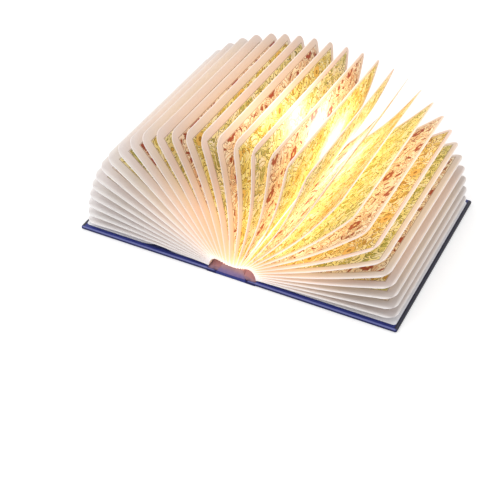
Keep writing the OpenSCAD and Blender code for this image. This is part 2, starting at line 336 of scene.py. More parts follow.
# %% The whole print
def floral(finish, x, y, colours, tile_w, tile_h, line_w):
    """Colour of the print at x, y in millimetres."""
    here = joined(finish, x, y)
    sway_x = (noise(finish, here, 22) - 0.5) * 7
    sway_y = (noise(finish, joined(finish, y, x, 9.0), 22) - 0.5) * 7
    x, y = x + sway_x, y + sway_y
    scale = tile_w / 30
    line = colours["line"]

    # The ground in soft clouds, with white berries
    cloud = noise(finish, joined(finish, x, y, 5.0), 12)
    art = finish.mix(colours["ground"], colours["moss"], cloud.rise(0.42, 0.58))
    berry = Num(finish, cells(finish, joined(finish, x, y, 3.0), 4.4 * scale).outputs["Distance"])
    art = finish.mix(art, colours["berry"], berry.rise(0.15, 0.11))

    # A curl, a small leaf or a bud round the middle of every cell
    crowd = cells(finish, joined(finish, x, y), 6.2 * scale)
    middle_x, middle_y, _ = parts(finish, crowd.outputs["Position"])
    kind, turn, shade = parts(finish, crowd.outputs["Color"])
    off_x, off_y = x - middle_x, y - middle_y
    out, angle = length(off_x, off_y), angle_of(off_x, off_y) + turn * TURN
    pitch = 3.1 * scale
    wound = abs((angle / TURN + out / pitch).part() - 0.5) * pitch
    art = finish.mix(art, line, (line_w * 1.15 - wound).rise(-0.16, 0.16) * out.rise(0.4, 0.8))
    along, across = out * angle.cos(), out * angle.sin()
    sprig = pointed(along, across, 0.4, 3.9 * scale, 1.7 * scale) - kind.rise(0.46, 0.44) * 9
    leafy = finish.mix(colours["olive"], colours["tendril"], shade.rise(0.45, 0.55))
    art = paint(finish, art, sprig, leafy, line, line_w * 1.3)
    rib = (0.14 - abs(across)).most(0.13 - abs(((along + abs(across)) / 1.5).part() - 0.5) * 1.5)
    art = finish.mix(art, line, rib.rise(-0.12, 0.1) * sprig.rise(0.1, 0.4) * 0.7)
    bud = 1.5 * scale + (angle * 5).cos() * 0.45 * scale - out - kind.rise(0.86, 0.84) * 9
    art = paint(finish, art, bud, colours["bud"], line, line_w)

    # Lobed leaves where four tiles meet
    far_x, far_y, pick = tile(x, y, tile_w, tile_h, 0.5)
    along, across, out = spokes(far_x, far_y, 3, pick * TURN, 0.05 / scale)
    ripple = (along * (2.1 / scale)).sin() * 0.5 * scale
    lobed = pointed(along, across, 6.6 * scale, 5.4 * scale, 3.0 * scale) + ripple
    art = paint(finish, art, lobed, colours["cream"], line, line_w)
    vein = abs(across).rise(0.5 * scale, 0.2 * scale) * lobed.rise(0.2, 0.8)
    art = finish.mix(art, colours["vein"], vein)
    curl = abs(out - 2.6 * scale)
    art = paint(finish, art, 0.5 * scale - curl, colours["tendril"], line, line_w)

    # A whirl of tendrils with pointed leaves and buds
    here_x, here_y, pick = tile(x, y, tile_w, tile_h)
    turn = pick * TURN
    along, across, out = spokes(here_x, here_y, 5, turn, 0.16 / scale)
    ring = out.rise(4.6 * scale, 5.4 * scale) * out.rise(14.5 * scale, 13.0 * scale)
    stem = (0.62 * scale - abs(across)) * ring - (1 - ring)
    art = paint(finish, art, stem, colours["tendril"], line, line_w)
    along, across, out = spokes(here_x, here_y, 10, turn, 0.24 / scale)
    blades = pointed(along, across, 9.6 * scale, 2.6 * scale, 0.95 * scale)
    art = paint(finish, art, blades, colours["tendril"], line, line_w)
    along, across, out = spokes(here_x, here_y, 5, turn + 0.62, 0.10 / scale)
    buds = pointed(along, across, 12.6 * scale, 2.0 * scale, 1.05 * scale)
    art = paint(finish, art, buds, colours["bud"], line, line_w)

    # The daisy, with a paler rim to each petal
    daisy = petals(here_x, here_y, 8, 4.1 * scale, 0.42)
    art = paint(finish, art, daisy, colours["petal"], line, line_w)
    art = finish.mix(art, colours["petal_rim"], daisy.rise(0.2, 0.05) * daisy.rise(-0.02, 0.1))
    heart = 1.25 * scale - length(here_x, here_y)
    return paint(finish, art, heart, colours["heart"], line, line_w)


print("print ready")

# %% [markdown]
# ## Light and floor
# A plain white sweep. The sky and one broad soft lamp together light a flat
# sheet to about the colour it is written in. The floor answers the camera as
# pure white and still takes the lamp's shadow.

# %% Sky, lamp and floor
SKY = 0.90
world = bpy.data.worlds.new("studio")
bpy.context.scene.world = world
world.use_nodes = True
tree = world.node_tree
sky = tree.nodes["Background"]
paths = tree.nodes.new("ShaderNodeLightPath")
seen = tree.nodes.new("ShaderNodeMath")
seen.operation = "MAXIMUM"
tree.links.new(paths.outputs["Is Camera Ray"], seen.inputs[0])
tree.links.new(paths.outputs["Is Glossy Ray"], seen.inputs[1])
strength = tree.nodes.new("ShaderNodeMapRange")
strength.inputs["To Min"].default_value = SKY
strength.inputs["To Max"].default_value = 1
tree.links.new(seen.outputs[0], strength.inputs["Value"])
tree.links.new(strength.outputs[0], sky.inputs["Strength"])
sky.inputs["Color"].default_value = (1, 1, 1, 1)

soft_lamp = bpy.data.lights.new("soft_lamp", "AREA")
soft_lamp.shape = "DISK"
soft_lamp.size = 1.8
soft_lamp.energy = 9
soft_lamp.color = (1, 0.99, 0.97)
lamp = bpy.data.objects.new("soft_lamp", soft_lamp)
lamp.location = (-0.9, -0.7, 1.5)
lamp.rotation_euler = (-Vector(lamp.location)).to_track_quat("-Z", "Y").to_euler()
bpy.context.scene.collection.objects.link(lamp)

bpy.ops.mesh.primitive_grid_add(x_subdivisions=8, y_subdivisions=8, size=12, location=(0, 0, -0.0003))
floor = bpy.context.object
floor.name = "floor"
paper = Finish("floor_paper", Roughness=1.0)
paper.shader.inputs["Specular IOR Level"].default_value = 0
lights = paper.node("ShaderNodeLightPath")
to_camera = Num(paper, lights.outputs["Is Camera Ray"])
paper.set("Base Color", paper.mix((0.66, 0.66, 0.68), (0.72, 0.72, 0.72), to_camera))
paper.set("Emission Color", (1, 1, 1, 1))
paper.set("Emission Strength", to_camera * 0.42)
floor.data.materials.append(paper.material)
bpy.context.scene.view_settings.view_transform = "Standard"
print("sky", SKY, "lamp", soft_lamp.energy, "W")

# %% [markdown]
# ## Leatherette
# The case is covered in navy leatherette with a fine pebbled grain and a soft
# gloss. The grain is a bump, because a pebble is a tenth of a millimetre; the
# rounded edges that catch the light are real shape. A highlight along their top
# and shade on the upright edges are painted into the colour.

# %% Navy leatherette
NAVY = (0.026, 0.038, 0.225)
NAVY_DEEP = (0.016, 0.022, 0.140)
# Plum is painted warm light from the leaves, on the leather of the lining
WARM_LIT_PLUM = (0.360, 0.205, 0.250)
WARM_LIT_PLUM_DEEP = (0.260, 0.145, 0.195)
# Painted light on the case edges: a highlight along their top, shade on the upright ends and on the fore edge
PAINTED_EDGE_HIGHLIGHT = (0.165, 0.185, 0.440)
PAINTED_END_SHADE = (0.008, 0.011, 0.095)
PAINTED_FORE_SHADE = (0.020, 0.019, 0.030)
CASE_HALF_X, CASE_HALF_Y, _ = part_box("back_leather")[1] / MM


def dye_with_painted_light(finish, x, y, z, deep=NAVY_DEEP, light=NAVY):
    """The dye, cloudy, with painted shade on the upright edges and a painted highlight along their top."""
    cloudy = noise(finish, joined(finish, x, y, z), 34).rise(0.2, 0.62)
    from_end, from_fore = CASE_HALF_Y - abs(y), CASE_HALF_X - abs(x)
    from_rim = from_end.least(from_fore)
    colour = finish.mix(deep, light, cloudy)
    # Painted shade on the upright faces at head and tail
    colour = finish.mix(colour, PAINTED_END_SHADE, from_end.rise(0.8, 0.2))
    # Painted shade on the fore edge and on the top beside it
    colour = finish.mix(colour, PAINTED_FORE_SHADE, from_fore.rise(3.2, 2.2) * z.rise(0.1, 0.5)
                        * from_end.rise(0.2, 2.0))
    # A painted highlight along the top of the edges at head and tail
    edge_highlight = z.rise(1.9, 2.6) * from_rim.rise(1.4, 0.9) * from_fore.rise(0.6, 2.0)
    return finish.mix(colour, PAINTED_EDGE_HIGHLIGHT, edge_highlight * 0.8)


def leatherette(name, roughness=0.42, deep=NAVY_DEEP, light=NAVY):
    """Grained leatherette in two shades, with painted shade and a painted highlight on its edges."""
    made = Finish(name, Roughness=roughness)
    x, y, z = places(made)
    spot = joined(made, x, y, z)
    made.set("Base Color", dye_with_painted_light(made, x, y, z, deep, light))
    grain(made, spot, 0.7, 0.06, roughness)
    made.shader.inputs["Specular IOR Level"].default_value = 0.35
    return made


# The lining is plum: its leather with the warm light of the leaves painted in
lining_leather = leatherette("lining_leatherette", 0.5, WARM_LIT_PLUM_DEEP, WARM_LIT_PLUM)
plain_leather = leatherette("navy_leatherette")
print(plain_leather.material.name)

# %% [markdown]
# ## The printed front cover and the foiled spine
# They lie on the table while the book is open and show once it is closed. The
# floral panel is framed by white dashes like a running stitch, and carries a
# plain blue plaque in a coral wreath, with nothing written on it. The spine
# has a line of gold foil with a small rosette.

# %% Front cover art
COVER_COLOURS = {
    "line": (0.012, 0.012, 0.016), "ground": (0.020, 0.026, 0.022), "moss": (0.060, 0.085, 0.030),
    "olive": (0.115, 0.140, 0.045), "berry": (0.75, 0.74, 0.70), "cream": (0.46, 0.43, 0.26),
    "vein": (0.30, 0.25, 0.12), "tendril": (0.36, 0.39, 0.36), "bud": (0.82, 0.27, 0.08),
    "petal": (0.17, 0.17, 0.50), "petal_rim": (0.42, 0.42, 0.75), "heart": (0.80, 0.52, 0.16),
}
CORAL = (0.72, 0.16, 0.13)
GOLD = (0.62, 0.40, 0.16)
cover_low, cover_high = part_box("front_leather")
cover_mid_x = (cover_low.x + cover_high.x) / 2 / MM
cover_half_x = (cover_high.x - cover_low.x) / 2 / MM
cover_half_y = cover_high.y / MM
BORDER = 8.5
PLAQUE_R, WREATH_R, OVAL = 12.2, 19.5, 0.72

front_leather = leatherette("front_cover_leatherette", 0.36)
x, y, z = places(front_leather)
from_mid_x = x - cover_mid_x
inside = (cover_half_x - abs(from_mid_x)).least(cover_half_y - abs(y)) - BORDER
art = floral(front_leather, x, y, COVER_COLOURS, 31.0, 33.0, 0.34)

# The plaque and its wreath, near the head
plaque_x, plaque_y = from_mid_x + 8, (y - 44) * OVAL
oval = length(plaque_x, plaque_y)
wreath_out = oval + (angle_of(plaque_x, plaque_y) * 14).sin()
art = paint(front_leather, art, WREATH_R - wreath_out, CORAL, COVER_COLOURS["line"], 0.4)
curl_x, curl_y, _ = spokes(plaque_x, plaque_y, 14)
curls = 0.42 - abs(length(curl_x - 15.6, curl_y) - 1.7)
art = front_leather.mix(art, (0.10, 0.03, 0.16), curls.rise(-0.15, 0.15))
art = paint(front_leather, art, PLAQUE_R - oval, NAVY, (0.9, 0.30, 0.22), 0.5)

# A fine dark rule, the dashes, then plain leather to the edge
under = z.rise(0.9, 0.6)
panel = inside.rise(0.0, 0.25) * under
cloudy = noise(front_leather, joined(front_leather, x, y), 34).rise(0.2, 0.62)
base = front_leather.mix(NAVY_DEEP, NAVY, cloudy)
# Above the underside the leather takes the dye with its painted shade and painted highlight on the edges
base = front_leather.mix(dye_with_painted_light(front_leather, x, y, z), base, under)
dash_row = (0.62 - abs(inside + 1.6)).rise(-0.12, 0.12)
side_edge = (cover_half_x - abs(from_mid_x)) - (cover_half_y - abs(y))
step = side_edge.rise(-0.01, 0.01)
run = (y * (1 - step) + from_mid_x * step) / 5.2
dashes = dash_row * (0.32 - abs(run.part() - 0.5)).rise(-0.02, 0.02) * under
base = front_leather.mix(base, art, panel)
base = front_leather.mix(base, (0.92, 0.92, 0.90), dashes)
front_leather.set("Base Color", base)
print("front cover panel inside", BORDER, "mm of border")

# %% Spine foil
spine_leather = leatherette("spine_leatherette", 0.38)
x, y, z = places(spine_leather)
apart = abs(y)
under = z.rise(0.9, 0.6)
# From the middle to the ends: a rosette, ovals, beads, a rule, a sprig, beads and a cup
rosette = petals(x, y, 6, 4.6, 0.40).most(1.2 - length(x, y))
ovals = 0.45 - abs(length(x * 1.3, (apart - 10.5) * 0.8) - 3.0)
beads = 0.7 - length(x, apart - 16.6)
rule = 0.22 - abs(x) - (apart - 33).rise(16.0, 16.4) - (22.0 - apart).rise(0, 0.4)
sprig = pointed(apart, x, 55.5, 3.2, 1.0).most(
    pointed(length(x, apart - 58), abs(x) - (apart - 58) * 0.8, 3.0, 2.6, 0.8))
bead_ends = 0.8 - length(x, apart - 66.0)
cup = pointed(apart, x, 74.0, 2.6, 1.7) - (0.6 - abs(abs(x) - 0.9)).most(0)
foil = rosette.most(ovals).most(beads).most(rule).most(sprig).most(bead_ends).most(cup)
gilt = foil.rise(-0.1, 0.12) * under
spine_leather.set("Base Color", spine_leather.mix(NAVY, GOLD, gilt))
spine_leather.set("Metallic", gilt * 0.85)
print("spine foil ready")


# %% [markdown]
# ## Case boards
# A board wrapped in leatherette has soft edges and a turned-in rim that stands
# a hair above the pasted paper inside. Each cover is built as a stack of
# outlines, from the outer face round the edge to the rim, so the edge is
# truly round.


# %% Slabs made of stacked outlines
def outline(x0, x1, half_y, inset, radius, steps=6):
    """Points round a plate, counter-clockwise, with rounded corners at x1 only."""
    x0, x1, half_y = x0 + min(inset, 0.5), x1 - inset, half_y - inset
    r = max(radius - inset, 0.25)
    points = [(x0, -half_y)]
    for cx, cy, first in ((x1 - r, -half_y + r, -90), (x1 - r, half_y - r, 0)):
        for i in range(steps + 1):
            a = math.radians(first + 90 * i / steps)
            points.append((cx + r * math.cos(a), cy + r * math.sin(a)))
    points.append((x0, half_y))
    return points


def mesh_piece(name, points, faces, finish, smooth_angle=30):
    """An object from points in millimetres, smooth except over sharp edges."""
    mesh = bpy.data.meshes.new(name)
    mesh.from_pydata([tuple(c * MM for c in p) for p in points], [], faces)
    mesh.validate()
    mesh.shade_smooth()
    mesh.set_sharp_from_angle(angle=math.radians(smooth_angle))
    mesh.materials.append(finish.material)
    piece = bpy.data.objects.new(name, mesh)
    bpy.context.scene.collection.objects.link(piece)
    return piece


def slab(name, x0, x1, half_y, radius, profile, finish, mirror=False):
    """A closed plate whose edge follows profile, a list of (inset, height)."""
    points, faces = [], []
    for inset, height in profile:
        ring = outline(x0, x1, half_y, inset, radius)
        points += [(-x if mirror else x, y, height) for x, y in ring]
    n = len(points) // len(profile)
    for row in range(len(profile) - 1):
        for i in range(n):
            a, b = row * n + i, row * n + (i + 1) % n
            face = (a, b, b + n, a + n)
            faces.append(face[::-1] if mirror else face)
    first, last = list(range(n)), [(len(profile) - 1) * n + i for i in range(n)]
    faces += [first, last[::-1]] if mirror else [first[::-1], last]
    return mesh_piece(name, points, faces, finish)


def rounded_edge(bottom, top, round_r, steps=5):
    """Profile of a round edge from the bottom face to the top face."""
    arc = [i / steps * math.pi / 2 for i in range(steps + 1)]
    lower = [(round_r * (1 - math.sin(a)), bottom + round_r * (1 - math.cos(a))) for a in arc]
    upper = [(round_r * (1 - math.cos(a)), top - round_r * (1 - math.sin(a))) for a in arc]
    return lower + upper


TURN_IN = 4.0
RECESS = 0.3
for side, finish in (("front", front_leather), ("back", plain_leather)):
    low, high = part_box(f"{side}_leather")
    x_in, x_out = sorted((abs(low.x) / MM, abs(high.x) / MM))
    top = high.z / MM
    edge = rounded_edge(0, top, 1.1) + [(TURN_IN - 0.3, top), (TURN_IN, top - RECESS)]
    case = slab(f"{side}_case", x_in, x_out, high.y / MM, 1.6, edge, finish, side == "front")
    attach(case, f"{side}_cover")
    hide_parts(f"{side}_leather", f"{side}_board")
    print(case.name, "from", round(x_in, 1), "to", round(x_out, 1))

# %% Spine
low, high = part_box("spine_leather")
edge = rounded_edge(0, high.z / MM, 0.45)
half_spine = high.x / MM
spine_case = slab("spine_case", -half_spine, half_spine, high.y / MM, 0.5, edge, spine_leather)
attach(spine_case, "spine")
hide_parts("spine_leather", "spine_board")
print("spine", round(2 * half_spine, 1), "mm wide")

# %% [markdown]
# ## Hinges and their linings
# Between spine and cover the leatherette runs free, and a second strip lines
# it inside, rising from the cover to the side of the light bar. At head and
# tail the lining is turned down to the case, which closes the hollow under it.
# Both bend as the cover turns; each is a fine sheet.


# %% Sheets with a thickness
def sheet(front, back):
    """Points and faces of a closed sheet between two grids of points."""
    rows, columns = front.shape[:2]
    n = rows * columns
    points = np.concatenate([front.reshape(-1, 3), back.reshape(-1, 3)])
    faces = []
    for i in range(rows - 1):
        for j in range(columns - 1):
            a = i * columns + j
            faces.append((a, a + 1, a + columns + 1, a + columns))
            faces.append((a + n, a + n + columns, a + n + columns + 1, a + n + 1))
    rim = [i * columns for i in range(rows)]
    rim += [(rows - 1) * columns + j for j in range(1, columns)]
    rim += [i * columns + columns - 1 for i in range(rows - 2, -1, -1)]
    rim += [j for j in range(columns - 2, 0, -1)]
    faces += [(a, b, b + n, a + n) for a, b in zip(rim, rim[1:] + rim[:1])]
    return points, faces


def soft_sheet(name, grids, finish, mirror):
    """One piece from several sheets, each a front and a back grid."""
    points, faces = [], []
    for front, back in grids:
        more, quads = sheet(front * (-1, 1, 1), back * (-1, 1, 1)) if mirror else sheet(front, back)
        faces += [tuple(i + len(points) for i in quad[::-1 if mirror else 1]) for quad in quads]
        points += [tuple(p) for p in more]
    piece = mesh_piece(name, points, faces, finish, 50)
    tidy = bmesh.new()
    tidy.from_mesh(piece.data)
    bmesh.ops.recalc_face_normals(tidy, faces=tidy.faces)
    tidy.to_mesh(piece.data)
    tidy.free()
    return piece


def along_book(path, thickness, half_y, columns=24):
    """Front and back grid of a strip along a path in X and Z."""
    tangent = np.gradient(path, axis=0)
    tangent /= np.linalg.norm(tangent, axis=1)[:, None]
    normal = np.stack([-tangent[:, 1], tangent[:, 0]], 1) * thickness / 2
    grids = []
    for edge in (path + normal, path - normal):
        rows = [np.stack([edge[:, 0], np.full(len(edge), y), edge[:, 1]], -1)
                for y in np.linspace(-half_y, half_y, columns + 1)]
        grids.append(np.stack(rows, 1))
    return grids


print("sheets ready")

# %% Hinges
inner_x = abs(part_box("back_leather")[0].x) / MM
half_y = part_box("back_leather")[1].y / MM
sides = (("front", -1), ("back", 1))
SPINE_END_Z, COVER_END_RISE = 1.5, 1.1
hinge_path = np.stack([np.linspace(half_spine - 0.45, inner_x + 0.45, 21), np.full(21, 0.27)], 1)


def turned_in(end):
    """The folded end of the hinge, as high as the case beside it."""
    across = np.linspace(-1, 1, 9)
    x = hinge_path[:, 0]
    height = SPINE_END_Z + COVER_END_RISE * np.clip((x - half_spine) / 2.4, 0, 1)
    top = 0.3 + (height - 0.3)[:, None] * (1 - across ** 4)[None, :] ** 0.25
    y = np.tile(end * (half_y - 0.98) + 0.9 * across, (len(x), 1))
    x = np.repeat(x[:, None], len(across), 1)
    return np.stack([x, y, top], -1), np.stack([x, y, np.full_like(top, 0.03)], -1)


for side, sign in sides:
    grids = [along_book(hinge_path, 0.5, half_y - 0.35), turned_in(-1), turned_in(1)]
    hinge = soft_sheet(f"{side}_cloth_hinge", grids, plain_leather, sign < 0)
    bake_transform(hinge)
    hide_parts(f"{side}_hinge")
print("hinges", round(inner_x - half_spine, 1), "mm wide")

# %% Linings with their turned-down ends
LINING_T = 0.35
LINING_R, LINING_HOLLOW = 8.75, 0.75
lining_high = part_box("back_hinge_lining")[1]
lining_y = lining_high.y / MM
lining_turn = np.radians(np.linspace(112, 19.5, 28))
lining_out = LINING_R - LINING_HOLLOW * np.sin(np.linspace(0, math.pi, 28))
arc = np.stack([half_spine + lining_out * np.cos(lining_turn), lining_out * np.sin(lining_turn)], 1)
FLAP_FOOT_Z = 1.5
END_DROP, END_DROP_REACH = 3.0, 10


def lining_strip():
    """The strip's two grids, which sink towards head and tail."""
    strip = along_book(arc, LINING_T, lining_y, 60)
    for grid in strip:
        from_end = lining_y - abs(grid[..., 1])
        sunk = END_DROP / lining_out.max() * np.exp(-(from_end / END_DROP_REACH) ** 2)
        grid[..., 2] *= 1 - sunk
    return strip


def turned_down(end):
    """The flap from the end of the lining down to the case, in two soft pleats."""
    foot_x = np.linspace(half_spine - 0.6, arc[-1, 0], len(arc))
    foot_y = np.full(len(arc), end * (half_y - 2.1))
    foot = np.stack([foot_x, foot_y, np.full(len(arc), FLAP_FOOT_Z)], -1)
    top_z = arc[:, 1] * (1 - END_DROP / lining_out.max())
    top = np.stack([arc[:, 0], np.full(len(arc), end * (lining_y - 0.2)), top_z], -1)
    share = np.linspace(0, 1, 9)[None, :, None]
    grid = foot[:, None] * (1 - share) + top[:, None] * share
    pleats = 0.35 * np.sin(np.linspace(0, 4 * math.pi, len(arc)))[:, None]
    grid[..., 1] += end * (0.5 + pleats) * np.sin(math.pi * share[..., 0])
    return grid, grid - (0, end * LINING_T, 0)


for side, sign in sides:
    grids = [lining_strip(), turned_down(-1), turned_down(1)]
    lining = soft_sheet(f"{side}_lining", grids, lining_leather, sign < 0)
    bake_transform(lining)
    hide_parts(f"{side}_hinge_lining")
print("linings reach", round(lining_high.z / MM, 1), "mm up")

# %% Where each leaf stands
leaf_names = [f"leaf_{k:02d}" for k in range(1, leaf_count + 1)]
Seat = namedtuple("Seat", "fold along aside reach")


def seat_of(name):
    """The fold, direction, side direction and length of a leaf, from its CAD plate."""
    joint = joints[f"{name}_fold"]
    a = -joint["axis"][1] * math.radians(joint["range_deg"][1])
    along, aside = np.array((math.sin(a), math.cos(a))), np.array((math.cos(a), -math.sin(a)))
    co = np.array([v.co for v in nodes[name].data.vertices]) / MM
    flat = co[:, [0, 2]]
    reach, off = flat @ along, flat @ aside
    fold = along * reach.min() + aside * (off.min() + off.max()) / 2
    return Seat(fold, along, aside, reach.max() - reach.min())


print("leaves", leaf_names[0], "to", leaf_names[-1])

# %% [markdown]
# ## Paper of the leaves
# Each leaf is an envelope of spun paper, printed inside a bare margin with a
# thin brown rule round the print. The light enters at the fold, so the glow is
# white at the foot, then gold, and strongest high up on the middle leaves.
# Leaves near the covers get less light and stay the cool grey of plain paper.
# The glow is painted as emission from the place on the leaf, which keeps the
# picture free of noise.

# %% Colours of the print
# Every third leaf is peach with rust flowers, the next gold, the next olive
PRINTS = {
    "line": ((0.30, 0.12, 0.07), (0.24, 0.13, 0.025), (0.13, 0.13, 0.035)),
    "ground": ((1.0, 0.93, 0.84), (1.0, 0.94, 0.64), (1.0, 0.96, 0.70)),
    "moss": ((1.0, 0.88, 0.76), (0.99, 0.89, 0.42), (0.96, 0.90, 0.48)),
    "olive": ((0.90, 0.62, 0.46), (0.80, 0.64, 0.16), (0.52, 0.52, 0.16)),
    "berry": ((1.0, 0.98, 0.94), (1.0, 0.98, 0.88), (1.0, 0.98, 0.90)),
    "cream": ((1.0, 0.97, 0.93), (1.0, 0.96, 0.76), (1.0, 0.97, 0.82)),
    "vein": ((0.68, 0.36, 0.25), (0.62, 0.42, 0.10), (0.45, 0.42, 0.14)),
    "tendril": ((0.95, 0.74, 0.60), (0.94, 0.80, 0.30), (0.84, 0.79, 0.34)),
    "bud": ((0.38, 0.09, 0.06), (0.62, 0.36, 0.08), (0.60, 0.50, 0.14)),
    "petal": ((0.40, 0.09, 0.06), (0.86, 0.58, 0.18), (0.86, 0.76, 0.36)),
    "petal_rim": ((0.84, 0.48, 0.38), (1.0, 0.86, 0.48), (1.0, 0.94, 0.70)),
    "heart": ((0.93, 0.70, 0.42), (0.50, 0.26, 0.05), (0.66, 0.44, 0.10)),
}


def colours_by_leaf(finish, kind):
    """The colours of the print, where kind runs from 0 to 1 over three leaves."""
    starts = (0.0, 1 / 3, 2 / 3)
    return {name: finish.pick(kind, *zip(starts, three))
            for name, three in PRINTS.items()}


# %% Where the print lies
MARGIN, MARGIN_FAR, MARGIN_FOOT = 4.2, 5.0, 4
seats = [seat_of(name) for name in leaf_names]
leaf_half_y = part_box("leaf_16")[1].y / MM
leaf_reach = seats[0].reach

leaf_paper = Finish("leaf_paper", Roughness=0.62)
leaf_paper.shader.inputs["Specular IOR Level"].default_value = 0.25
# u runs along the fold and v out from it; each leaf carries its share of light and its number
u, v, _ = places(leaf_paper, layer="sheet")
tone, number, _ = (s * MM for s in places(leaf_paper, layer="tone"))
from_edge = (leaf_half_y - abs(u)).least(leaf_reach - v)

# The margin is widest on the left, narrow right of the middle and wide again by the back cover
wider_left = number.rise(19, 14) * 3.8 + number.rise(13, 7) * 1.6
margin = wider_left + number.rise(24, 29) * 5 + MARGIN
in_print = (leaf_half_y - MARGIN_FAR - u).least(leaf_half_y - margin + u)
in_print = in_print.least(leaf_reach - margin - v).least(v - MARGIN_FOOT)
printed = in_print.rise(-0.15, 0.2)
rule = in_print.rise(-0.75, -0.55) * in_print.rise(-0.1, -0.3) * v.rise(8, 14)
print("the print starts", MARGIN, "mm or more from the edge")

# %% Paper and ink
PRINT_W, PRINT_H, PRINT_LINE = 34.0, 36.0, 0.30
RULE_BROWN = (0.30, 0.19, 0.10)
INK = (0.82, 0.79, 0.76)


def fading(distance, reach):
    """1 at distance 0, and a third of it left after each reach."""
    return (distance * (-1 / reach)).power_of_e()


kind = (number / 3 + 1 / 6).part()
art = floral(leaf_paper, u + number * 14.7, v + number * 5.9, colours_by_leaf(leaf_paper, kind),
             PRINT_W, PRINT_H, PRINT_LINE)
fibre = noise(leaf_paper, joined(leaf_paper, u * 3, v), 1.6, 3.0)

# Bare paper, with painted warm light near the fold and on the leaves that get most light
bare = leaf_paper.mix((0.80, 0.77, 0.78), (0.87, 0.84, 0.85), fibre.rise(0.3, 0.7))
bare = leaf_paper.mix(bare, (0.78, 0.60, 0.47), fading(v, 42.0) * tone * 0.9)
bare = leaf_paper.mix(bare, (0.80, 0.67, 0.60), tone.rise(0.7, 1.0) * 0.75)

# Where the leaves crowd together their faces lie in shade and their edges shine
crowded = tone.rise(0.95, 0.35)
shaded = leaf_paper.mix((0.81, 0.775, 0.775), (0.98, 0.965, 0.965), from_edge.rise(4.5, 0.6))
bare = leaf_paper.mix(bare, shaded, crowded * 0.9)
# Painted shade on the leaves near the back cover, away from their edges
shade_on_right = number.rise(23, 29) * from_edge.rise(0.6, 3.0)
bare = leaf_paper.mix(bare, (0.60, 0.56, 0.555), shade_on_right * 0.7)
bare = leaf_paper.mix(bare, RULE_BROWN, rule * 0.75)
leaf_paper.set("Base Color", leaf_paper.mix(bare, leaf_paper.tint(art, INK), printed))
leaf_paper.bump(fibre * 0.5, 0.05 * MM)
print("ink of", len(PRINTS), "colours on each kind of leaf")


# %% Glow through the paper
def hump(value, middle, width):
    """1 at the middle and fading on both sides."""
    off = (value - middle) / width
    return (off * off * -1).power_of_e()


at_fold = fading(v, 6.0) * 0.6 + v.rise(95, 30) * 0.32
up_leaf = fading(v, 60.0) * 0.20 + 0.28
along = abs(u).rise(98, 40) * 0.70 + 0.30

# The hot spot is high on the middle leaves. From leaf to leaf it moves down and to the far end
HOT_U, HOT_V, HOT_LEAF = -16, 104, 17.9
right_of_middle = number - 17
hot_u = hump(u - right_of_middle * 14, HOT_U, 36)
hot_v = hump(v + right_of_middle * 11, HOT_V, 28)
hot_spot = hot_u * hot_v * hump(number, HOT_LEAF, 3.2) * 0.85
# Painted light on the leaves right of the middle, whose faces turn to the light
lit_face_glow = hump(number, 22.0, 4.2) * v.rise(5, 60) * 0.30
glow = (at_fold + up_leaf * along) * tone + lit_face_glow + hot_spot

# More light turns the gold of the print and the peach of the paper white
lit_art = leaf_paper.tint(art, (1.0, 0.84, 0.52))
lit_art = leaf_paper.mix(lit_art, (1.0, 0.97, 0.90), glow.rise(0.75, 1.5))
lit_bare = leaf_paper.mix((0.70, 0.41, 0.21), (1.0, 0.93, 0.78), glow.rise(0.8, 1.5))
lit_bare = leaf_paper.mix(lit_bare, (0.10, 0.05, 0.02), rule * 0.8)
shine = leaf_paper.mix(lit_bare, lit_art, printed)
# A painted highlight along the rim of each leaf
rim = from_edge.rise(1.2, 0.3) * 0.7
leaf_paper.set("Emission Color", leaf_paper.mix(shine, (0.80, 0.72, 0.68), rim))
leaf_paper.set("Emission Strength", glow)
print("glow reaches", round(float(leaf_reach), 1), "mm up a leaf")

# %% [markdown]
# ## The leaves
# A leaf starts from its own CAD plate: where its fold is, which way it leans
# and how long it is. Two sheets meet in a bonded rim with rounded corners,
# part a little in the middle, and spread at the foot to meet the next leaf's
# sheets, as folded paper does. Each leaf also sways a little off its flat
# plate.

# %% How far the leaves sway
# At a few leaves across the fan: how far the near and the far corner stand off
# the flat plate and how far its middle sags, to the right, in millimetres
SWAY_AT = [1, 3, 6, 8, 10, 13, 17, 20, 22, 26, 28, 30, 32]
SWAY_NEAR = [-4.0, -4.5, -5.6, -3.6, 1.2, 3.4, -1.5, -2.4, 1.5, 6.4, 5.2, 3.0, 2.0]
SWAY_FAR = [-4.4, -5.7, -6.5, -3.7, 1.0, 5.0, 1.2, 0.6, 1.4, 6.0, 6.0, 4.0, 3.6]
SAG = [1.2, -0.7, -2.2, -1.8, 0.0, 2.4, 4.3, 5.7, 6.0, 4.9, 3.6, 1.9, 0.4]
leaf_places = np.arange(1, leaf_count + 1)
near_sways, far_sways, bows = (np.interp(leaf_places, SWAY_AT, row)
                               for row in (SWAY_NEAR, SWAY_FAR, SAG))
bows += np.random.default_rng(7).uniform(-0.2, 0.2, leaf_count)
print("largest sway", max(abs(near_sways)).round(1), "mm")


# %% The form of a leaf
CORNER = 9.0
FOOT_TAPER = 0.5
ROUND_TIP = 0.1
RIM_HALF_T, BELLY = 0.30, 0.50
FOOT_RISE = 7.5
CROWDED_ENDS = math.pi / 2 * 0.86


def leaf_rows(reach):
    """Distances from the fold, closer together at the foot and at the corners."""
    feet = [0, 0.5, 1.1, 1.9, 3.0, 4.5, 6.5, 9.5]
    straight = list(np.linspace(14, reach - CORNER, 15))
    corner = [reach - CORNER + CORNER * math.sin(math.radians(a)) for a in (18, 36, 52, 66, 78, 90)]
    return np.array(feet + straight + corner)


